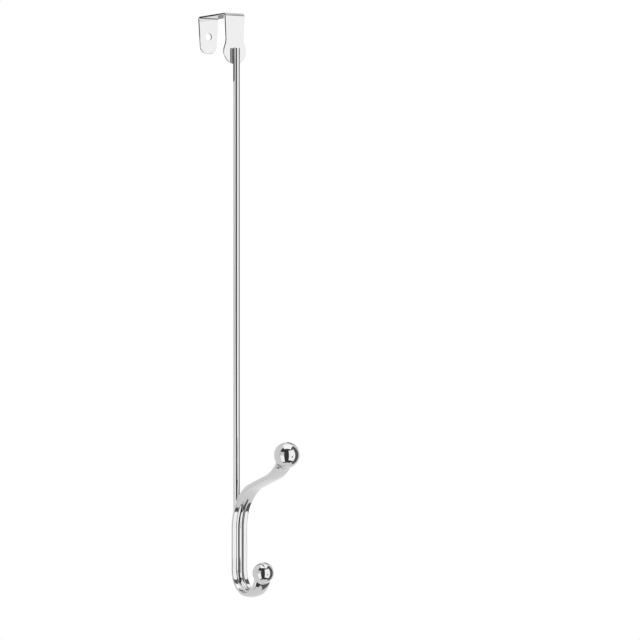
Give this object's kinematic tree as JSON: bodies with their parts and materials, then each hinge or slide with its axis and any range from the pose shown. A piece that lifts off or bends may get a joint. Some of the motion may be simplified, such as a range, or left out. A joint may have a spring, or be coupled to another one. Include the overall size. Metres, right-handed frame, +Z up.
{
  "type": "over door hook",
  "caption": "Over-the-door hook: a folded steel bracket drops over the door's top edge, and a slim rod carries a double hook with ball ends for coats and towels.",
  "frame": {"origin": "middle of the underside of the bracket's top strap, where it rests on the door's top edge", "axes": "+Z up, -Y out from the door towards the user (the side the hooks point to), X across the hook, whose plane of symmetry is X = 0"},
  "size_m": [0.0228, 0.1455, 0.5155],
  "materials": {
    "chrome": "polished"
  },
  "bodies": {
    "root": {"door_bracket": "chrome", "drop_rod": "chrome", "double_hook": "chrome"}
  },
  "joints": []
}
